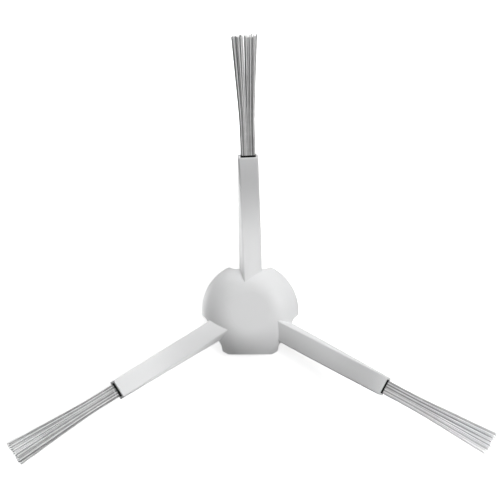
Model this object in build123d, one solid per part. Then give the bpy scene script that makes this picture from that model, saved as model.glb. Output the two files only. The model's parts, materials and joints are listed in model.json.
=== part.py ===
from build123d import *
import math
import os

# Hub moulding
HUB_RADIUS = 15.0
DOME_OVERHANG = 0.15
DOME_EDGE_RADIUS = HUB_RADIUS + DOME_OVERHANG
SHOULDER_WIDTH = 9.25
CAP_RADIUS = DOME_EDGE_RADIUS - SHOULDER_WIDTH
DOME_HEIGHT = 8.0
DOME_EDGE_CURVE = 6.9
SKIRT_HEIGHT = 1.0
HUB_WALL = 1.6
HUB_TOP_WALL = 1.6
CAVITY_LOW_RISE = 0.30
CAVITY_MID_RUN = 0.70
CAVITY_MID_RISE = 0.72
CAVITY_HIGH_RUN = 0.18
HUB_EDGE_ROUND = 0.45
FLAT_SHARE = 0.8933
FLAT_DISTANCE = FLAT_SHARE * HUB_RADIUS
FLAT_CORNER_ROUND = 2.0
INNER_CORNER_ROUND = 0.5

# Relief in the hub's outline beside each arm
NOTCH_SHARE = 0.8633
NOTCH_DISTANCE = NOTCH_SHARE * HUB_RADIUS
NOTCH_FLARE = 0.8
NOTCH_MOUTH_DISTANCE = NOTCH_DISTANCE + NOTCH_FLARE
NOTCH_FLOOR_SHARE = 0.64
NOTCH_FLOOR_WIDTH = NOTCH_FLOOR_SHARE * HUB_RADIUS
NOTCH_MOUTH_SHARE = 0.92
NOTCH_MOUTH_WIDTH = NOTCH_MOUTH_SHARE * HUB_RADIUS
NOTCH_CORNER_ROUND = 0.8

# Drive boss under the hub
BOSS_RADIUS = 5.4
PILOT_RADIUS = 3.6
PILOT_DEPTH = 2.4
DRIVE_ACROSS_FLATS = 5.0
DRIVE_CORNER_ROUND = 0.5
DRIVE_DEPTH = 6.2
WEB_THICKNESS = 2.4
WEB_SETBACK = 1.2

# Arms, measured along and across an arm that points along X
ARM_COUNT = 3
FIRST_ARM_ANGLE = 90.0
ARM_ROOT_WIDTH = 6.4
ARM_TIP_WIDTH = 6.05
ARM_THICKNESS = 3.4
ARM_EDGE_BREAK = 0.32
ARM_START_RADIUS = 7.6
ARM_ROOT_HEIGHT = 5.65
ARM_SIDE_OFFSET = -0.55
ARM_LEAN_ANGLE = 1.1
ARM_ROOT_RISE = 4.0
ARM_ROOT_LENGTH = 14.9
ARM_BEND_RADIUS = 35.4
ARM_STEEP_RISE = 34.0
ARM_STEEP_LENGTH = 2.6
ARM_EASE_RADIUS = 24.0
ARM_TIP_RISE = 24.0
ARM_TIP_LENGTH = 1.6
ARM_ROOT_TWIST = 26.0
ARM_TIP_TWIST = 3.0
ARM_ROOT_CROWN = 0.36
ARM_TIP_CROWN = 0.04
ARM_SECTIONS = 7

# Pocket in the end of each arm
POCKET_WIDTH = 4.7
POCKET_HEIGHT = 1.9
POCKET_DEPTH = 5.0
POCKET_CORNER_ROUND = 0.4

# Bristle tufts
TUFT_FIT = 0.03
TUFT_ROOT_SETBACK = 0.6
TUFT_ROOT_OVERLAP = 0.4
TUFT_LENGTH = 39.0
FILAMENT_DIAMETER = 0.36
FILAMENT_SIDES = 6
FILAMENT_GAP = 0.025
FILAMENT_PITCH = FILAMENT_DIAMETER + FILAMENT_GAP
ROW_GAP = 0.04
ROW_PITCH = FILAMENT_DIAMETER + ROW_GAP
ROW_FLOOR_GAP = 0.06
ROW_COUNTS = (10, 12, 10)
TUFT_BEND_DISTANCE = 11.5
TUFT_ROOT_LEAN_ANGLE = 0.5
TUFT_FAN_LEAN_ANGLE = 0.4
TUFT_FAN_HALF_ANGLE = 3.8
TUFT_ROW_FAN_ANGLE = 1.1
FAN_UNEVENNESS_ANGLE = 0.25
TIP_UNEVENNESS = 0.35

# Turn of the waves that make neighbouring filaments uneven, in radians a place and a row
FAN_WAVE_PLACE = 2.4
FAN_WAVE_ROW = 1.9
TIP_WAVE_PLACE = 3.7
TIP_WAVE_ROW = 2.3

# Smallest differences that count, in millimetres and as a share
POINT_TOLERANCE = 0.0015
LEVEL_TOLERANCE = 1.0e-6

# Angles of a turn, in degrees
QUARTER_TURN = 90.0
HALF_TURN = 180.0
FULL_TURN = 360.0

# Node names of the tufts, in the order of the arms
TUFT_NAMES = ("bristle_tuft_top", "bristle_tuft_left", "bristle_tuft_right")


def arm_angle(index: int) -> float:
    """The direction of an arm about the hub's axis, in degrees."""
    return FIRST_ARM_ANGLE + index * FULL_TURN / ARM_COUNT


def hub_outline(inset: float, flat_round: float, notch_round: float) -> Sketch:
    """The hub's outline seen from above, with the reliefs beside the arms and the flat on one lobe."""
    reach = 2.0 * HUB_RADIUS
    flat = Pos(FLAT_DISTANCE - inset + reach / 2.0, 0) * Rectangle(reach, reach)
    outline = Circle(HUB_RADIUS - inset) - Rot(0, 0, arm_angle(0) + HALF_TURN) * flat
    outline = fillet(outline.vertices(), flat_round)
    kept = [(vertex.X, vertex.Y) for vertex in outline.vertices()]
    flare = (NOTCH_MOUTH_WIDTH - NOTCH_FLOOR_WIDTH) / 2.0
    slant = math.atan2(NOTCH_MOUTH_DISTANCE - NOTCH_DISTANCE, flare)
    widening = inset * math.tan(slant / 2.0)
    floor = NOTCH_DISTANCE - inset
    floor_half = NOTCH_FLOOR_WIDTH / 2.0 + widening
    mouth = NOTCH_MOUTH_DISTANCE - inset
    mouth_half = NOTCH_MOUTH_WIDTH / 2.0 + widening
    relief = make_face(
        Polyline(
            (floor, -floor_half),
            (floor, floor_half),
            (mouth, mouth_half),
            (reach, mouth_half),
            (reach, -mouth_half),
            (mouth, -mouth_half),
            close=True,
        )
    )
    for index in range(ARM_COUNT):
        outline = outline - Rot(0, 0, arm_angle(index)) * relief
    corners = outline.vertices().filter_by(lambda corner: not is_listed(corner, kept))
    return fillet(corners, notch_round)


def is_listed(corner: Vertex, points: list) -> bool:
    """Whether a corner lies at one of the listed points."""
    return any(math.hypot(corner.X - x, corner.Y - y) < POINT_TOLERANCE for x, y in points)


def dome_body() -> Part:
    """A solid of revolution under the dome: a level cap, a shoulder of two tangent arcs and a short skirt."""
    top = SKIRT_HEIGHT + DOME_HEIGHT
    width = SHOULDER_WIDTH
    low = DOME_EDGE_CURVE
    high = (width**2 + DOME_HEIGHT**2 - 2.0 * width * low) / (2.0 * (DOME_HEIGHT - low))
    turn = math.atan2(high - DOME_HEIGHT, width - low)
    join = (CAP_RADIUS + high * math.cos(turn), top - high + high * math.sin(turn))
    lower = TangentArc((DOME_EDGE_RADIUS, SKIRT_HEIGHT), join, tangent=(0.0, 1.0))
    upper = TangentArc((CAP_RADIUS, top), join, tangent=(1.0, 0.0))
    outline = Polyline(
        (CAP_RADIUS, top), (0.0, top), (0.0, 0.0), (DOME_EDGE_RADIUS, 0.0), (DOME_EDGE_RADIUS, SKIRT_HEIGHT)
    )
    face = Plane.XZ * make_face([lower, upper, outline])
    return revolve(face, Axis.Z)


def hub_solid() -> Part:
    """The hub's outside, solid, with the edges over its reliefs and its flat rounded."""
    tall = 2.0 * (DOME_HEIGHT + SKIRT_HEIGHT)
    outline = hub_outline(0.0, FLAT_CORNER_ROUND, NOTCH_CORNER_ROUND)
    solid = dome_body() & extrude(outline, tall)
    walls = solid.faces().filter_by(lambda face: abs(face.normal_at().Z) < LEVEL_TOLERANCE)
    rim_top = walls.edges().filter_by(lambda edge: edge.geom_type != GeomType.LINE)
    rim_top = rim_top.filter_by(lambda edge: edge.center().Z > SKIRT_HEIGHT)
    return fillet(rim_top, HUB_EDGE_ROUND)


def cavity_body() -> Part:
    """A solid of revolution for the space under the dome: a level ceiling, two cones and a straight side."""
    side = DOME_EDGE_RADIUS - HUB_WALL
    ceiling = SKIRT_HEIGHT + DOME_HEIGHT - HUB_TOP_WALL
    rise = ceiling - SKIRT_HEIGHT
    run = side - CAP_RADIUS
    outline = Polyline(
        (0.0, 0.0),
        (side, 0.0),
        (side, SKIRT_HEIGHT + CAVITY_LOW_RISE * rise),
        (CAP_RADIUS + CAVITY_MID_RUN * run, SKIRT_HEIGHT + CAVITY_MID_RISE * rise),
        (CAP_RADIUS + CAVITY_HIGH_RUN * run, ceiling),
        (0.0, ceiling),
        close=True,
    )
    return revolve(Plane.XZ * make_face(outline), Axis.Z)


def hub_cavity() -> Part:
    """The space under the dome that leaves the hub an even wall."""
    tall = 2.0 * (DOME_HEIGHT + SKIRT_HEIGHT)
    outline = hub_outline(HUB_WALL, INNER_CORNER_ROUND, INNER_CORNER_ROUND)
    return cavity_body() & extrude(outline, tall)


def arm_runs() -> list:
    """The arm's axis as runs of length and curvature: straight, bent up, straight, eased back, straight."""
    up = math.radians(ARM_STEEP_RISE - ARM_ROOT_RISE)
    back = math.radians(ARM_STEEP_RISE - ARM_TIP_RISE)
    return [
        (ARM_ROOT_LENGTH, 0.0),
        (ARM_BEND_RADIUS * up, 1.0 / ARM_BEND_RADIUS),
        (ARM_STEEP_LENGTH, 0.0),
        (ARM_EASE_RADIUS * back, -1.0 / ARM_EASE_RADIUS),
        (ARM_TIP_LENGTH, 0.0),
    ]


def arm_station(share: float) -> tuple:
    """A point on the arm's axis, from 0 at the root to 1 at the mouth: distance out, height and slope."""
    left = share * sum(length for length, curve in arm_runs())
    out = ARM_START_RADIUS
    height = ARM_ROOT_HEIGHT
    slope = math.radians(ARM_ROOT_RISE)
    for length, curve in arm_runs():
        step = min(left, length)
        middle = slope + curve * step / 2.0
        half_turn = curve * step / 2.0
        chord = step
        if half_turn != 0.0:
            chord = step * math.sin(half_turn) / half_turn
        out += chord * math.cos(middle)
        height += chord * math.sin(middle)
        slope += curve * step
        left -= step
    return out, height, slope


def arm_plane(share: float) -> Plane:
    """The plane of an arm's section: X across to the raised edge, Y up through the arm, Z along it."""
    out, height, slope = arm_station(share)
    twist = math.radians(ARM_ROOT_TWIST + (ARM_TIP_TWIST - ARM_ROOT_TWIST) * share)
    along = Vector(math.cos(slope), 0.0, math.sin(slope))
    normal = Vector(-math.sin(slope), 0.0, math.cos(slope))
    side = Vector(0.0, 1.0, 0.0)
    x_dir = side * math.cos(twist) + normal * math.sin(twist)
    return Plane(origin=(out, 0.0, height), x_dir=x_dir, z_dir=along)


def arm_section(share: float) -> Sketch:
    """An arm's section with its long edges broken and a slightly crowned upper face."""
    half_width = (ARM_ROOT_WIDTH + (ARM_TIP_WIDTH - ARM_ROOT_WIDTH) * share) / 2.0
    half_thick = ARM_THICKNESS / 2.0
    crown = ARM_ROOT_CROWN + (ARM_TIP_CROWN - ARM_ROOT_CROWN) * share
    lower = Polyline(
        (-half_width, half_thick),
        (-half_width, -half_thick),
        (half_width, -half_thick),
        (half_width, half_thick),
    )
    upper = ThreePointArc((half_width, half_thick), (0.0, half_thick + crown), (-half_width, half_thick))
    face = make_face([lower, upper])
    return chamfer(face.vertices(), ARM_EDGE_BREAK)


def arm_body() -> Part:
    """One arm along X: a bar lofted through its turned sections, with the pocket cut in its end."""
    sections = []
    for step in range(ARM_SECTIONS):
        share = step / (ARM_SECTIONS - 1)
        sections.append(arm_plane(share) * arm_section(share))
    bar = loft(sections)
    pocket = RectangleRounded(POCKET_WIDTH, POCKET_HEIGHT, POCKET_CORNER_ROUND)
    cut = extrude(arm_plane(1.0).offset(-POCKET_DEPTH) * pocket, 2.0 * POCKET_DEPTH)
    return bar - cut


def place_on_hub(index: int) -> Location:
    """Moves a shape built along X to its arm on the hub."""
    return Rot(0, 0, arm_angle(index)) * Pos(0, ARM_SIDE_OFFSET, 0) * Rot(0, 0, ARM_LEAN_ANGLE)


def drive_boss() -> Part:
    """The boss under the dome with its webs to the arms, before the socket is cut."""
    ceiling = SKIRT_HEIGHT + DOME_HEIGHT - HUB_TOP_WALL
    boss = extrude(Circle(BOSS_RADIUS), ceiling + HUB_TOP_WALL / 2.0)
    length = NOTCH_DISTANCE - HUB_WALL / 2.0
    web = Pos(length / 2.0, 0, WEB_SETBACK) * Rectangle(length, WEB_THICKNESS)
    web = extrude(web, ceiling - WEB_SETBACK)
    for index in range(ARM_COUNT):
        boss = boss + Rot(0, 0, arm_angle(index)) * web
    return boss & dome_body()


def drive_socket() -> Part:
    """The space in the boss: a round pilot at the mouth and a square drive above it."""
    pilot = extrude(Circle(PILOT_RADIUS), PILOT_DEPTH)
    square = RectangleRounded(DRIVE_ACROSS_FLATS, DRIVE_ACROSS_FLATS, DRIVE_CORNER_ROUND)
    return pilot + extrude(square, DRIVE_DEPTH)


def hub_and_arms() -> Part:
    """The whole moulding."""
    body = hub_solid()
    arm = arm_body()
    for index in range(ARM_COUNT):
        body = body + place_on_hub(index) * arm
    body = body - hub_cavity()
    body = body + drive_boss()
    return body - drive_socket()


def filament(row: int, place: int) -> Part:
    """One filament in the mouth's frame: X across to the raised edge, Y up, Z out along the tuft."""
    middle = (ROW_COUNTS[row] - 1) / 2.0
    widest = (max(ROW_COUNTS) - 1) / 2.0
    floor = -POCKET_HEIGHT / 2.0 + TUFT_FIT + ROW_FLOOR_GAP + FILAMENT_DIAMETER / 2.0
    wave = FAN_UNEVENNESS_ANGLE * math.sin(FAN_WAVE_PLACE * place + FAN_WAVE_ROW * row)
    spread = (place - middle) / widest
    layer = row - (len(ROW_COUNTS) - 1) / 2.0
    lean = math.tan(math.radians(TUFT_ROOT_LEAN_ANGLE))
    fan = math.tan(math.radians(TUFT_FAN_LEAN_ANGLE + spread * TUFT_FAN_HALF_ANGLE + wave))
    rise = math.tan(math.radians(layer * TUFT_ROW_FAN_ANGLE))
    root = (place - middle) * FILAMENT_PITCH
    level = floor + row * ROW_PITCH
    start = -TUFT_ROOT_SETBACK - TUFT_ROOT_OVERLAP
    bend = root + (TUFT_BEND_DISTANCE - start) * lean
    length = TUFT_LENGTH + TIP_UNEVENNESS * math.sin(TIP_WAVE_PLACE * place + TIP_WAVE_ROW * row)
    run = length - TUFT_BEND_DISTANCE
    section = RegularPolygon(FILAMENT_DIAMETER / 2.0, FILAMENT_SIDES)
    sections = [
        Pos(root, level, start) * section,
        Pos(bend, level, TUFT_BEND_DISTANCE) * section,
        Pos(bend + run * fan, level + run * rise, length) * section,
    ]
    return loft(sections, ruled=True)


def tuft_body() -> Part:
    """One tuft in the mouth's frame: the melted root block and the filaments that stand on it."""
    block_width = POCKET_WIDTH - 2.0 * TUFT_FIT
    block_height = POCKET_HEIGHT - 2.0 * TUFT_FIT
    profile = RectangleRounded(block_width, block_height, POCKET_CORNER_ROUND - TUFT_FIT)
    block = extrude(Pos(0, 0, -POCKET_DEPTH) * profile, POCKET_DEPTH - TUFT_ROOT_SETBACK)
    filaments = []
    for row, count in enumerate(ROW_COUNTS):
        for place in range(count):
            filaments.append(filament(row, place))
    return block.fuse(*filaments)


def main() -> None:
    """Builds every node and writes its file."""
    os.makedirs("parts", exist_ok=True)
    export_step(hub_and_arms(), "parts/hub_and_arms.step")
    tuft = arm_plane(1.0).location * tuft_body()
    for index, name in enumerate(TUFT_NAMES):
        export_step(place_on_hub(index) * tuft, "parts/" + name + ".step")


if __name__ == "__main__":
    main()
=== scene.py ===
"""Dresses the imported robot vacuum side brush: its moulding, bristle tufts and a plain studio."""

from __future__ import annotations

import json
import logging
import math
import random
from dataclasses import dataclass
from enum import Enum
from typing import Any

import bpy
from mathutils import Matrix, Vector

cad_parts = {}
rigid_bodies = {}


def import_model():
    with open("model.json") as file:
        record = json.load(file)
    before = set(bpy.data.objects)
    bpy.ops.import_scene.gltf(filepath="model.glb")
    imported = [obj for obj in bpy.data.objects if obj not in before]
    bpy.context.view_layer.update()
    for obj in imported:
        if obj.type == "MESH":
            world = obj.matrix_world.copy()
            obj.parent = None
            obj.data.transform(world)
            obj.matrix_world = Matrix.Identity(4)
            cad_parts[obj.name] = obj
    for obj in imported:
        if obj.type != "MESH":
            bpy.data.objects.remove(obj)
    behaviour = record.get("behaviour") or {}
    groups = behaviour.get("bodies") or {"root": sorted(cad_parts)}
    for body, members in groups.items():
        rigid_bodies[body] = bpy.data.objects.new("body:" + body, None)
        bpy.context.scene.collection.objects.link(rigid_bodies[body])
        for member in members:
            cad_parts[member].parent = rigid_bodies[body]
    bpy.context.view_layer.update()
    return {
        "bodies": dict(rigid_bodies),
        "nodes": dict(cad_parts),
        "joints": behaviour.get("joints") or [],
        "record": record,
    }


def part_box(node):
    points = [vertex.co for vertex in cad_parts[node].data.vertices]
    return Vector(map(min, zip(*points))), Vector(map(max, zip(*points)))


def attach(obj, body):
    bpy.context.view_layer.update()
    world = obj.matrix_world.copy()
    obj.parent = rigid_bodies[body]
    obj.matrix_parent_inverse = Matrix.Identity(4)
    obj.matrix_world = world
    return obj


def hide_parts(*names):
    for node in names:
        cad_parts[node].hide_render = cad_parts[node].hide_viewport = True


LOG = logging.getLogger("side_brush")

MM = 0.001
BODY = "root"

# A Mix node has sockets of the same name for each kind of data. These are the ones for colours.
MIX_A = 6
MIX_B = 7
MIX_RESULT = 2

Colour = tuple[float, float, float, float]
Frame = dict[str, Any]
SocketKey = str | int
Faces = list[tuple[int, ...]]
MeshParts = tuple[list[Vector], Faces]


class StrandData(Enum):
    """What each point of a tuft's mesh carries for its finish."""

    TONE = "strand_tone"
    # How far a point carries the painted shade that stands for the shadow in the arm's pocket.
    ROOT = "root_painted_shade"


def linear(hex_colour: str) -> Colour:
    """Turns an sRGB hex colour into a linear one, by the curve of the sRGB standard.

    Args:
        hex_colour: Six hex digits after a hash sign.

    Returns:
        Linear red, green and blue, and an alpha of one.
    """
    channels = []
    for start in (1, 3, 5):
        value = int(hex_colour[start : start + 2], 16) / 255.0
        channels.append(value / 12.92 if value <= 0.04045 else ((value + 0.055) / 1.055) ** 2.4)
    return channels[0], channels[1], channels[2], 1.0


def per_metre(size_mm: float) -> float:
    """The texture scale, in repeats a metre, of a pattern with features of this size."""
    return 1.0 / (size_mm * MM)


def tube_faces(rings: int, sides: int) -> Faces:
    """The faces of a closed tube whose rings of points follow one another.

    Args:
        rings: How many rings it has.
        sides: How many points each ring has.

    Returns:
        The faces between the rings, then one at the first ring and one at the last.
    """
    faces: Faces = []
    last = (rings - 1) * sides
    for low in range(0, last, sides):
        high = low + sides
        for side in range(sides):
            following = (side + 1) % sides
            faces.append((low + side, low + following, high + following, high + side))
    faces.append(tuple(range(sides - 1, -1, -1)))
    faces.append(tuple(range(last, last + sides)))
    return faces


def add_node(
    tree: bpy.types.NodeTree,
    kind: str,
    settings: dict[str, Any] | None = None,
    values: dict[SocketKey, Any] | None = None,
    links: dict[SocketKey, bpy.types.NodeSocket] | None = None,
) -> bpy.types.Node:
    """Adds one shader node with its settings and links.

    Args:
        tree: The node tree that gets the node.
        kind: The node's type name.
        settings: Properties of the node itself.
        values: Constant values of its inputs, by input name or number.
        links: Sockets that feed its inputs, by input name or number.

    Returns:
        The new node.
    """
    node = tree.nodes.new(kind)
    for name, value in (settings or {}).items():
        setattr(node, name, value)
    for key, value in (values or {}).items():
        node.inputs[key].default_value = value
    for key, socket in (links or {}).items():
        tree.links.new(socket, node.inputs[key])
    return node


def empty_material(name: str) -> tuple[bpy.types.Material, bpy.types.NodeTree]:
    """Makes a material that has no nodes yet.

    Args:
        name: The material's name.

    Returns:
        The material and its empty node tree.
    """
    material = bpy.data.materials.new(name)
    material.use_nodes = True
    material.node_tree.nodes.clear()
    return material, material.node_tree


def background_rays(tree: bpy.types.NodeTree) -> bpy.types.NodeSocket:
    """Finds the rays that show the background: straight, in reflections and through clear things.

    Args:
        tree: The node tree of the floor or the surroundings.

    Returns:
        A socket that is 1 for those rays and 0 for the rest.
    """
    path = add_node(tree, "ShaderNodeLightPath")
    seen = path.outputs["Is Camera Ray"]
    for kind in ("Is Glossy Ray", "Is Transmission Ray"):
        either = add_node(
            tree,
            "ShaderNodeMath",
            settings={"operation": "MAXIMUM"},
            links={0: seen, 1: path.outputs[kind]},
        )
        seen = either.outputs["Value"]
    return seen


@dataclass(frozen=True)
class MouldedAbs:
    """ABS, injection moulded in a spark-textured tool.

    The eye gets a clean, slightly cool white with a satin sheen, edges that are softly rounded,
    and a faint unevenness where the melt has flowed and shrunk.
    """

    name: str = "abs_satin_moulded_white"
    colour_low: str = "#E1E2E2"
    colour_high: str = "#E6E6E7"
    roughness_low: float = 0.46
    roughness_high: float = 0.56
    ior: float = 1.53
    noise_detail: float = 2.0
    flow_mm: float = 9.0
    flow_roughness: float = 0.5
    # The noise is stretched from this range to the whole range of the roughness.
    flow_range: tuple[float, float] = (0.3, 0.7)
    # The tool's grain is near 0.05 mm, and is drawn coarser so that it shows.
    grain_mm: float = 0.30
    grain_height_mm: float = 0.006
    grain_roughness: float = 0.6
    grain_strength: float = 0.5
    edge_round_mm: float = 0.28
    edge_samples: int = 8

    def make(self) -> bpy.types.Material:
        """Builds the material.

        Returns:
            The finished material.
        """
        material, tree = empty_material(self.name)
        place = add_node(tree, "ShaderNodeTexCoord")
        flow = add_node(
            tree,
            "ShaderNodeTexNoise",
            values={
                "Scale": per_metre(self.flow_mm),
                "Detail": self.noise_detail,
                "Roughness": self.flow_roughness,
            },
            links={"Vector": place.outputs["Object"]},
        )
        colour = add_node(
            tree,
            "ShaderNodeMix",
            settings={"data_type": "RGBA"},
            values={MIX_A: linear(self.colour_low), MIX_B: linear(self.colour_high)},
            links={"Factor": flow.outputs["Fac"]},
        )
        rough = add_node(
            tree,
            "ShaderNodeMapRange",
            values={
                "From Min": self.flow_range[0],
                "From Max": self.flow_range[1],
                "To Min": self.roughness_low,
                "To Max": self.roughness_high,
            },
            links={"Value": flow.outputs["Fac"]},
        )
        edge = add_node(
            tree,
            "ShaderNodeBevel",
            settings={"samples": self.edge_samples},
            values={"Radius": self.edge_round_mm * MM},
        )
        grain = add_node(
            tree,
            "ShaderNodeTexNoise",
            values={
                "Scale": per_metre(self.grain_mm),
                "Detail": self.noise_detail,
                "Roughness": self.grain_roughness,
            },
            links={"Vector": place.outputs["Object"]},
        )
        bump = add_node(
            tree,
            "ShaderNodeBump",
            values={"Strength": self.grain_strength, "Distance": self.grain_height_mm * MM},
            links={"Height": grain.outputs["Fac"], "Normal": edge.outputs["Normal"]},
        )
        shader = add_node(
            tree,
            "ShaderNodeBsdfPrincipled",
            values={"IOR": self.ior},
            links={
                "Base Color": colour.outputs[MIX_RESULT],
                "Roughness": rough.outputs["Result"],
                "Normal": bump.outputs["Normal"],
            },
        )
        add_node(tree, "ShaderNodeOutputMaterial", links={"Surface": shader.outputs["BSDF"]})
        return material


@dataclass(frozen=True)
class DrawnNylon:
    """Nylon 6 monofilament, melt-spun and drawn, with shade painted near-black at its root.

    The eye gets round grey strands that differ a little in tone, each with a soft sheen along it,
    and a nearly black line in the arm's mouth, which is painted shade for the shadow in the pocket.
    """

    name: str = "nylon_drawn_filament_grey"
    colour_dark: str = "#7D7D7D"
    colour_light: str = "#F5F5F5"
    # Painted shade: the near-black that stands for the shadow inside the arm's pocket, on the root
    # block and the filaments' roots.
    painted_root_shade: str = "#0B0B0C"
    roughness: float = 0.34
    painted_shade_roughness: float = 1.0
    ior: float = 1.53
    # Patches along a strand that are a little lighter or darker than the rest of it.
    patch_mm: float = 2.4
    patch_detail: float = 1.0
    patch_range: tuple[float, float] = (0.25, 0.75)
    patch_tone: float = 0.08

    def make(self) -> bpy.types.Material:
        """Builds the material.

        Returns:
            The finished material.
        """
        material, tree = empty_material(self.name)
        tone = add_node(
            tree, "ShaderNodeAttribute", settings={"attribute_name": StrandData.TONE.value}
        )
        root = add_node(
            tree, "ShaderNodeAttribute", settings={"attribute_name": StrandData.ROOT.value}
        )
        place = add_node(tree, "ShaderNodeTexCoord")
        patches = add_node(
            tree,
            "ShaderNodeTexNoise",
            values={"Scale": per_metre(self.patch_mm), "Detail": self.patch_detail},
            links={"Vector": place.outputs["Object"]},
        )
        change = add_node(
            tree,
            "ShaderNodeMapRange",
            values={
                "From Min": self.patch_range[0],
                "From Max": self.patch_range[1],
                "To Min": -self.patch_tone,
                "To Max": self.patch_tone,
            },
            links={"Value": patches.outputs["Fac"]},
        )
        mixed = add_node(
            tree,
            "ShaderNodeMath",
            settings={"operation": "ADD", "use_clamp": True},
            links={0: tone.outputs["Fac"], 1: change.outputs["Result"]},
        )
        strand = add_node(
            tree,
            "ShaderNodeMix",
            settings={"data_type": "RGBA"},
            values={MIX_A: linear(self.colour_dark), MIX_B: linear(self.colour_light)},
            links={"Factor": mixed.outputs["Value"]},
        )
        # Painted shade: the root block and the filaments' roots are mixed toward near-black,
        # standing in for the shadow inside the arm's pocket.
        shaded_root = add_node(
            tree,
            "ShaderNodeMix",
            settings={"data_type": "RGBA"},
            values={MIX_B: linear(self.painted_root_shade)},
            links={"Factor": root.outputs["Fac"], MIX_A: strand.outputs[MIX_RESULT]},
        )
        rough = add_node(
            tree,
            "ShaderNodeMapRange",
            values={"To Min": self.roughness, "To Max": self.painted_shade_roughness},
            links={"Value": root.outputs["Fac"]},
        )
        shader = add_node(
            tree,
            "ShaderNodeBsdfPrincipled",
            values={"IOR": self.ior},
            links={
                "Base Color": shaded_root.outputs[MIX_RESULT],
                "Roughness": rough.outputs["Result"],
            },
        )
        add_node(tree, "ShaderNodeOutputMaterial", links={"Surface": shader.outputs["BSDF"]})
        return material


@dataclass(frozen=True)
class MattPaper:
    """Matt white backing paper, bleached and uncoated.

    The eye gets a plain white without a sheen, and the soft shadow of what lies on it.
    """

    name: str = "backing_paper_matt_white"
    colour: str = "#F4F4F4"
    # The light that the paper throws back up at the brush is held down to this shade.
    bounce_colour: str = "#C6C6C6"
    glow: float = 0.68

    def make(self) -> bpy.types.Material:
        """Builds the material.

        Returns:
            The finished material.
        """
        material, tree = empty_material(self.name)
        path = add_node(tree, "ShaderNodeLightPath")
        shade = add_node(
            tree,
            "ShaderNodeMix",
            settings={"data_type": "RGBA"},
            values={MIX_A: linear(self.colour), MIX_B: linear(self.bounce_colour)},
            links={"Factor": path.outputs["Is Diffuse Ray"]},
        )
        paper = add_node(tree, "ShaderNodeBsdfDiffuse", links={"Color": shade.outputs[MIX_RESULT]})
        level = add_node(
            tree,
            "ShaderNodeMapRange",
            values={"To Max": self.glow},
            links={"Value": background_rays(tree)},
        )
        glow = add_node(tree, "ShaderNodeEmission", links={"Strength": level.outputs["Result"]})
        both = add_node(
            tree,
            "ShaderNodeAddShader",
            links={0: paper.outputs["BSDF"], 1: glow.outputs["Emission"]},
        )
        add_node(tree, "ShaderNodeOutputMaterial", links={"Surface": both.outputs["Shader"]})
        return material


@dataclass
class HubAndArms:
    """The one-piece moulding: a domed hub with three twisted arms.

    Its form is the CAD node itself.
    """

    node: str = "hub_and_arms"

    def dress(self, frame: Frame, finish: bpy.types.Material) -> bpy.types.Object:
        """Gives the moulding its finish.

        Args:
            frame: The loaded frame.
            finish: The plastic's material.

        Returns:
            The moulding's object.
        """
        moulding = frame["nodes"][self.node]
        for slot in moulding.material_slots:
            slot.material = finish
        return moulding


@dataclass(frozen=True)
class StrandRow:
    """One row of filaments across the pocket.

    The level is the height of the row over the pocket's floor in millimetres, the shift is sideways
    in filament pitches, and the lift is what the row adds to its filaments' tone. The lift is
    painted
    light: the top row, which the lamps reach, is made lighter than the rows that lie in its shade.
    """

    count: int
    level: float
    shift: float
    lift: float


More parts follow.
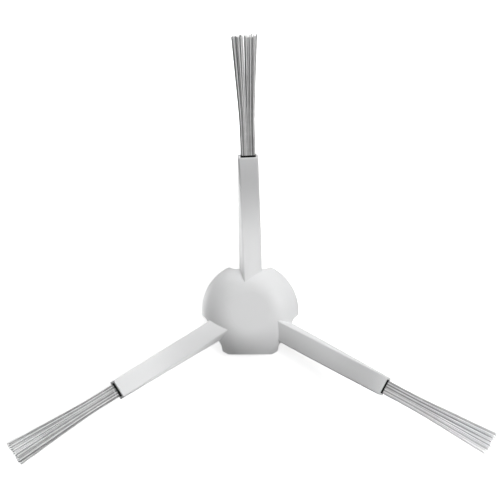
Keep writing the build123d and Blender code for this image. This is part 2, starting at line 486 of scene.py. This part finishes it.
@dataclass
class BristleTuft:
    """One tuft: round filaments in three rows, fanned out from a fused root block in the arm's
    mouth.

    Sizes are in millimetres and angles in degrees. The mouth's own frame has X across to the arm's
    raised edge, Y up through the arm and Z out along the tuft. A tone of 0 is the dark nylon and a
    tone of 1 the light one. The tone shift moves the tones of a whole tuft: it is painted light,
    which makes a tuft lighter where the lamps fall on it more and darker where they fall less. The
    tip lift is the share by which the tones rise from root to tip. One seed sets how the filaments
    lie, and the other seed sets their tones.
    """

    node: str
    arm_angle: float
    painted_light_shift: float
    tip_lift: float
    seed: int
    tone_seed: int

    # Where the mouth stands on its arm, and the pocket behind it.
    side_offset: float = -0.55
    lean_angle: float = 1.1
    mouth_out: float = 47.066
    mouth_height: float = 16.788
    mouth_rise: float = 24.0
    mouth_twist: float = 3.0
    pocket_width: float = 4.7
    pocket_height: float = 1.9
    pocket_depth: float = 5.0

    # The block of root ends in the pocket, and the painted shade that climbs the filaments from it.
    fit: float = 0.03
    block_corner: float = 0.37
    corner_points: int = 4
    root_block_setback: float = 0.12
    painted_shade_climb: float = 0.30
    painted_shade_edge: float = 0.10

    # The filaments and their rows.
    length: float = 38.85
    diameter: float = 0.36
    sides: int = 10
    steps: int = 26
    rows: tuple[StrandRow, ...] = (
        StrandRow(count=11, level=0.20, shift=-0.33, lift=0.0),
        StrandRow(count=11, level=0.53, shift=0.0, lift=0.0),
        # The top row's lift is painted light: the lamps reach it and the rows under it lie in its
        # shade.
        StrandRow(count=10, level=0.90, shift=0.33, lift=0.12),
    )
    root_start: float = -1.0
    root_span: float = 4.44
    root_lean: float = 0.5
    bend_distance: float = 11.5
    bend_softness: float = 2.2
    fan_lean: float = 0.6
    fan_half_angle: float = 3.6
    row_fan: float = 1.1
    cut_edge: float = 0.06

    # How the filaments differ: in aim, in length, and by a slow wander toward the tip.
    fan_unevenness: float = 0.22
    tip_unevenness: float = 0.28
    wander: float = 0.08
    wander_least: float = 0.4
    wander_turn_across: float = 2.6
    wander_turn_up: float = 3.1
    wander_up: float = 0.5

    # A gap that opens toward the tips and parts the tuft in two.
    parting: float = 0.13
    parting_place: float = 0.05
    parting_start: float = 0.4
    parting_fade: float = 4.0

    # Neighbouring filaments share a clump's tone, and one clump in every few is dark.
    clumps: int = 19
    dark_clump_every: int = 3
    dark_clump: tuple[float, float] = (0.00, 0.20)
    light_clump: tuple[float, float] = (0.50, 0.85)
    strand_difference: float = 0.22
    # Partly painted light: the cut ends are lifted toward the light tone.
    cut_end_painted_light: float = 0.5

    def mouth_frame(self) -> Matrix:
        """Works out where the mouth stands.

        Returns:
            The matrix from the mouth's frame, in millimetres, to the row frame, in metres.
        """
        rise = math.radians(self.mouth_rise)
        twist = math.radians(self.mouth_twist)
        along = Vector((math.cos(rise), 0.0, math.sin(rise)))
        normal = Vector((-math.sin(rise), 0.0, math.cos(rise)))
        across = Vector((0.0, 1.0, 0.0)) * math.cos(twist) + normal * math.sin(twist)
        up = along.cross(across)
        axes = Matrix((across, up, along)).transposed().to_4x4()
        axes.translation = Vector((self.mouth_out, 0.0, self.mouth_height))
        lean = Matrix.Rotation(math.radians(self.lean_angle), 4, "Z")
        turn = Matrix.Rotation(math.radians(self.arm_angle), 4, "Z")
        offset = Matrix.Translation((0.0, self.side_offset, 0.0))
        return Matrix.Scale(MM, 4) @ turn @ offset @ lean @ axes

    def share(self, row: int, place: int) -> float:
        """Where a filament stands across the tuft, from -1 at one edge to 1 at the other."""
        places = max(spec.count for spec in self.rows)
        return 2.0 * (place + 0.5 + self.rows[row].shift) / places - 1.0

    def stations(self, end: float) -> list[float]:
        """Works out where the points of a filament's centreline stand.

        Args:
            end: How far out of the mouth the filament is cut.

        Returns:
            Distances out of the mouth, close together at the edge of the painted shade and at the
            cut.
        """
        shaded_root = self.painted_shade_climb - self.painted_shade_edge / 2.0
        unshaded = self.painted_shade_climb + self.painted_shade_edge / 2.0
        tip = end - self.cut_edge
        even = [unshaded + (tip - unshaded) * step / self.steps for step in range(self.steps + 1)]
        return [self.root_start, shaded_root, *even, end]

    def strand_line(self, row: int, place: int, chance: random.Random) -> list[Vector]:
        """Draws the centreline of one filament in the mouth's frame.

        Args:
            row: The filament's row, counted from the pocket's floor.
            place: Its place along the row.
            chance: The tuft's own source of small differences.

        Returns:
            Points from the root to the tip.
        """
        share = self.share(row, place)
        layer = row - (len(self.rows) - 1) / 2.0
        level = self.rows[row].level - self.pocket_height / 2.0 + self.fit
        root = share * self.root_span / 2.0
        lean = math.tan(math.radians(self.root_lean))
        aim = self.fan_lean + share * self.fan_half_angle
        aim += chance.uniform(-1.0, 1.0) * self.fan_unevenness
        fan = math.tan(math.radians(aim))
        rise = math.tan(math.radians(layer * self.row_fan))
        end = self.length + chance.uniform(-1.0, 1.0) * self.tip_unevenness
        phase = chance.uniform(0.0, math.tau)
        sway = chance.uniform(self.wander_least, 1.0) * self.wander
        beside = share - self.parting_place
        parted = math.copysign(self.parting, beside) * math.exp(-self.parting_fade * abs(beside))
        line = []
        for out in self.stations(end):
            past_bend = (out - self.bend_distance) / self.bend_softness
            turned = self.bend_softness * math.log1p(math.exp(past_bend))
            reach = max(0.0, out / self.length)
            opened = max(0.0, reach - self.parting_start)
            across = root + lean * (out - self.root_start) + (fan - lean) * turned
            across += sway * reach * math.sin(phase + self.wander_turn_across * reach)
            across += parted * opened / (1.0 - self.parting_start)
            swing = math.cos(phase + self.wander_turn_up * reach)
            up = level + rise * turned + self.wander_up * sway * reach * swing
            line.append(Vector((across, up, out)))
        return line

    def strand_mesh(self, line: list[Vector]) -> MeshParts:
        """Makes a round filament along a centreline, closed at both ends.

        Args:
            line: The centreline's points.

        Returns:
            Its points and faces.
        """
        points: list[Vector] = []
        radius = self.diameter / 2.0
        for step, centre in enumerate(line):
            before = line[max(0, step - 1)]
            after = line[min(len(line) - 1, step + 1)]
            along = (after - before).normalized()
            across = Vector((0.0, 1.0, 0.0)).cross(along).normalized()
            up = along.cross(across)
            for side in range(self.sides):
                turn = math.tau * side / self.sides
                points.append(centre + radius * (math.cos(turn) * across + math.sin(turn) * up))
        return points, tube_faces(len(line), self.sides)

    def block_mesh(self) -> MeshParts:
        """Makes the block of melted root ends that fills the pocket.

        Returns:
            Its points and faces.
        """
        corner = self.block_corner
        half_width = self.pocket_width / 2.0 - self.fit
        half_height = self.pocket_height / 2.0 - self.fit
        corner_step = 90.0 / (self.corner_points - 1)
        outline = []
        for quarter, (x_sign, y_sign) in enumerate(((1, 1), (-1, 1), (-1, -1), (1, -1))):
            for step in range(self.corner_points):
                turn = math.radians(90.0 * quarter + corner_step * step)
                x = x_sign * (half_width - corner) + corner * math.cos(turn)
                y = y_sign * (half_height - corner) + corner * math.sin(turn)
                outline.append((x, y))
        ends = (-self.pocket_depth, -self.root_block_setback)
        points = [Vector((x, y, end)) for end in ends for x, y in outline]
        return points, tube_faces(len(ends), len(outline))

    def clump_tones(self, paint: random.Random) -> list[float]:
        """Draws the tone of each clump.

        Args:
            paint: The tuft's own source of tones.

        Returns:
            The tones, from one edge of the tuft to the other.
        """
        first_dark = paint.randrange(self.dark_clump_every)
        tones = []
        for clump in range(self.clumps):
            dark = clump % self.dark_clump_every == first_dark
            tones.append(paint.uniform(*(self.dark_clump if dark else self.light_clump)))
        return tones

    def strand_tones(self, strand: list[Vector], tone: float) -> list[float]:
        """Works out the tone at each point of a filament.

        Args:
            strand: The filament's points, ring by ring from root to tip.
            tone: Its tone at the root.

        Returns:
            The tones, which rise toward the tip.
        """
        tones = [tone * (1.0 + self.tip_lift * point.z / self.length) for point in strand]
        # The cut ends are lifted toward the light tone: partly because a cut end scatters more
        # light than the drawn skin, and partly as painted light on ends that face away from the
        # lamps.
        return tones[: -self.sides] + [cut + self.cut_end_painted_light for cut in tones[-self.sides :]]

    def painted_shade_share(self, out: float) -> float:
        """How far the painted shade covers a filament at this distance out, from 1 down to 0."""
        share = min(1.0, max(0.0, (self.painted_shade_climb - out) / self.painted_shade_edge + 0.5))
        return share * share * (3.0 - 2.0 * share)

    def build(self) -> bpy.types.Object:
        """Builds the tuft as one mesh in the place of its CAD node.

        Returns:
            The tuft's object, riding on the brush.
        """
        shape = random.Random(self.seed)
        paint = random.Random(self.tone_seed)
        clumps = self.clump_tones(paint)
        points, faces = self.block_mesh()
        tones = [0.0] * len(points)
        # The root block takes the whole painted shade.
        painted_root_shade = [1.0] * len(points)
        for row, spec in enumerate(self.rows):
            for place in range(spec.count):
                strand, skin = self.strand_mesh(self.strand_line(row, place, shape))
                clump = int(self.clumps * (self.share(row, place) + 1.0) / 2.0)
                # Painted light: the row's lift and the tuft's tone shift make the top row and the
                # better-lit tufts lighter.
                tone = clumps[clump] + spec.lift + self.painted_light_shift
                tone += paint.uniform(-1.0, 1.0) * self.strand_difference
                first = len(points)
                faces += [tuple(first + index for index in face) for face in skin]
                points += strand
                tones += self.strand_tones(strand, tone)
                painted_root_shade += [self.painted_shade_share(point.z) for point in strand]
        to_row = self.mouth_frame()
        mesh = bpy.data.meshes.new(self.node + "_filaments")
        mesh.from_pydata([to_row @ point for point in points], [], faces)
        for name, data in ((StrandData.TONE, tones), (StrandData.ROOT, painted_root_shade)):
            mesh.attributes.new(name.value, "FLOAT", "POINT").data.foreach_set("value", data)
        # The sides, which are the faces with four corners, are shaded round and the ends flat.
        mesh.polygons.foreach_set("use_smooth", [len(face) == 4 for face in faces])
        mesh.update()
        tuft = bpy.data.objects.new(self.node + "_filaments", mesh)
        bpy.context.scene.collection.objects.link(tuft)
        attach(tuft, BODY)
        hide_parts(self.node)
        return tuft

    def dress(self, tuft: bpy.types.Object, finish: bpy.types.Material) -> None:
        """Gives the tuft its finish."""
        tuft.data.materials.append(finish)


@dataclass(frozen=True)
class Softbox:
    """A soft light that points at its target. Lengths are in metres, angles in degrees.

    A narrow spread is a grid over the light, which keeps it on one face.
    """

    name: str
    azimuth: float
    elevation: float
    distance: float
    size: tuple[float, float]
    power: float
    target: tuple[float, float, float] = (0.0, 0.0, 0.0)
    spread: float = 180.0

    def build(self) -> bpy.types.Object:
        """Hangs the light.

        Returns:
            The light's object.
        """
        lamp = bpy.data.lights.new(self.name, "AREA")
        lamp.shape = "RECTANGLE"
        lamp.size, lamp.size_y = self.size
        lamp.energy = self.power
        lamp.spread = math.radians(self.spread)
        box = bpy.data.objects.new(self.name, lamp)
        azimuth = math.radians(self.azimuth)
        elevation = math.radians(self.elevation)
        toward = Vector(
            (
                math.cos(elevation) * math.cos(azimuth),
                math.cos(elevation) * math.sin(azimuth),
                math.sin(elevation),
            )
        )
        box.location = Vector(self.target) + toward * self.distance
        box.rotation_mode = "QUATERNION"
        box.rotation_quaternion = toward.to_track_quat("Z", "Y")
        box.visible_camera = False
        bpy.context.scene.collection.objects.link(box)
        return box


@dataclass(frozen=True)
class TablePanel:
    """A dim lit panel that lies on the table and lights the brush from beside and below.

    Lengths are in metres.
    """

    name: str
    x_range: tuple[float, float]
    y_range: tuple[float, float]
    radiance: float
    height: float = 0.0003

    def build(self) -> bpy.types.Object:
        """Lays the panel face up.

        Returns:
            The panel's light object.
        """
        lamp = bpy.data.lights.new(self.name, "AREA")
        lamp.shape = "RECTANGLE"
        lamp.size = self.x_range[1] - self.x_range[0]
        lamp.size_y = self.y_range[1] - self.y_range[0]
        lamp.energy = math.pi * lamp.size * lamp.size_y * self.radiance
        panel = bpy.data.objects.new(self.name, lamp)
        panel.location = (sum(self.x_range) / 2.0, sum(self.y_range) / 2.0, self.height)
        panel.rotation_euler = (math.pi, 0.0, 0.0)
        panel.visible_camera = False
        bpy.context.scene.collection.objects.link(panel)
        return panel


@dataclass(frozen=True)
class Studio:
    """The floor, the white surroundings, the lights and the camera.

    Lengths are in metres, angles in degrees.
    """

    # The floor lies a hair under the brush, so that their faces don't meet.
    floor_half: float = 4.0
    floor_level: float = -0.00005
    surround: str = "#FFFFFF"
    surround_light: float = 0.02
    surround_seen: float = 1.0
    # After the three large lights come small ones with a grid, each for one arm's side or one tuft.
    lights: tuple[Softbox, ...] = (
        Softbox(
            "overhead_softbox",
            azimuth=0.0,
            elevation=90.0,
            distance=1.6,
            size=(0.88, 0.88),
            power=3.6,
        ),
        Softbox(
            "right_softbox",
            azimuth=20.0,
            elevation=50.0,
            distance=1.0,
            size=(0.55, 0.55),
            power=6.2,
        ),
        Softbox(
            "back_softbox",
            azimuth=90.0,
            elevation=30.0,
            distance=1.0,
            size=(0.55, 0.55),
            power=3.85,
        ),
        Softbox(
            "top_arm_strip",
            azimuth=180.0,
            elevation=-4.0,
            distance=0.06,
            size=(0.030, 0.008),
            power=0.00065,
            target=(-0.0025, 0.028, 0.010),
            spread=16.0,
        ),
        Softbox(
            "right_tuft_spot",
            azimuth=20.0,
            elevation=60.0,
            distance=0.12,
            size=(0.020, 0.020),
            power=0.0022,
            target=(0.067, -0.0387, 0.030),
            spread=20.0,
        ),
        Softbox(
            "left_arm_strip",
            azimuth=300.0,
            elevation=-4.0,
            distance=0.06,
            size=(0.030, 0.008),
            power=0.0004,
            target=(-0.027, -0.017, 0.010),
            spread=16.0,
        ),
    )
    panels: tuple[TablePanel, ...] = (
        TablePanel("hub_bounce", x_range=(-0.120, -0.016), y_range=(-0.006, 0.012), radiance=2.0),
    )
    camera_height: float = 1.2
    lens_mm: float = 279.97
    sensor_mm: float = 36.0
    clip_start: float = 0.05
    clip_end: float = 20.0
    frame_centre: tuple[float, float] = (0.0000926, 0.018794)

    def floor(self) -> bpy.types.Object:
        """Lays the floor, one flat sheet of paper.

        Returns:
            The floor's object.
        """
        half = self.floor_half
        corners = [(-half, -half), (half, -half), (half, half), (-half, half)]
        mesh = bpy.data.meshes.new("floor")
        mesh.from_pydata([(x, y, self.floor_level) for x, y in corners], [], [(0, 1, 2, 3)])
        mesh.materials.append(MattPaper().make())
        floor = bpy.data.objects.new("floor", mesh)
        bpy.context.scene.collection.objects.link(floor)
        return floor

    def world(self) -> bpy.types.World:
        """Makes the surroundings: plain white where they are seen, and dim as a light.

        Returns:
            The world.
        """
        world = bpy.data.worlds.new("white_surround")
        world.use_nodes = True
        tree = world.node_tree
        tree.nodes.clear()
        level = add_node(
            tree,
            "ShaderNodeMapRange",
            values={"To Min": self.surround_light, "To Max": self.surround_seen},
            links={"Value": background_rays(tree)},
        )
        light = add_node(
            tree,
            "ShaderNodeBackground",
            values={"Color": linear(self.surround)},
            links={"Strength": level.outputs["Result"]},
        )
        add_node(tree, "ShaderNodeOutputWorld", links={"Surface": light.outputs["Background"]})
        bpy.context.scene.world = world
        return world

    def camera(self) -> bpy.types.Object:
        """Hangs the camera straight over the hub, aimed at the middle of the picture.

        Returns:
            The camera's object.
        """
        lens = bpy.data.cameras.new("product_camera")
        lens.lens = self.lens_mm
        lens.sensor_width = self.sensor_mm
        lens.clip_start = self.clip_start
        lens.clip_end = self.clip_end
        camera = bpy.data.objects.new("product_camera", lens)
        camera.location = (0.0, 0.0, self.camera_height)
        aim = Vector((*self.frame_centre, 0.0)) - camera.location
        camera.rotation_mode = "QUATERNION"
        camera.rotation_quaternion = aim.to_track_quat("-Z", "Y")
        bpy.context.scene.collection.objects.link(camera)
        bpy.context.scene.camera = camera
        return camera

    def build(self) -> None:
        """Sets up the whole studio."""
        self.camera()
        self.floor()
        self.world()
        for light in self.lights:
            light.build()
        for panel in self.panels:
            panel.build()
        bpy.context.scene.view_settings.view_transform = "Standard"


def main() -> None:
    """Builds the brush's pieces in order and reports each one."""
    logging.basicConfig(level=logging.INFO, format="%(message)s")
    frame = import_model()
    Studio().build()
    moulding = HubAndArms().dress(frame, MouldedAbs().make())
    LOG.info("%s: %d faces", moulding.name, len(moulding.data.polygons))
    nylon = DrawnNylon().make()
    # Each tuft's tone shift is painted light: the right tuft, lit most by the lamps, is lighter and
    # the top tuft darker.
    tufts = (
        BristleTuft(
            "bristle_tuft_top",
            arm_angle=90.0,
            painted_light_shift=-0.05,
            tip_lift=0.70,
            seed=55,
            tone_seed=8,
        ),
        BristleTuft(
            "bristle_tuft_left",
            arm_angle=210.0,
            painted_light_shift=-0.02,
            tip_lift=0.50,
            seed=137,
            tone_seed=7,
        ),
        BristleTuft(
            "bristle_tuft_right",
            arm_angle=330.0,
            painted_light_shift=0.02,
            tip_lift=0.95,
            seed=53,
            tone_seed=13,
        ),
    )
    for tuft in tufts:
        piece = tuft.build()
        tuft.dress(piece, nylon)
        low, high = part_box(tuft.node)
        faces = len(piece.data.polygons)
        LOG.info("%s: %d faces, CAD box %s to %s", piece.name, faces, low[:], high[:])


if __name__ == "__main__":
    main()
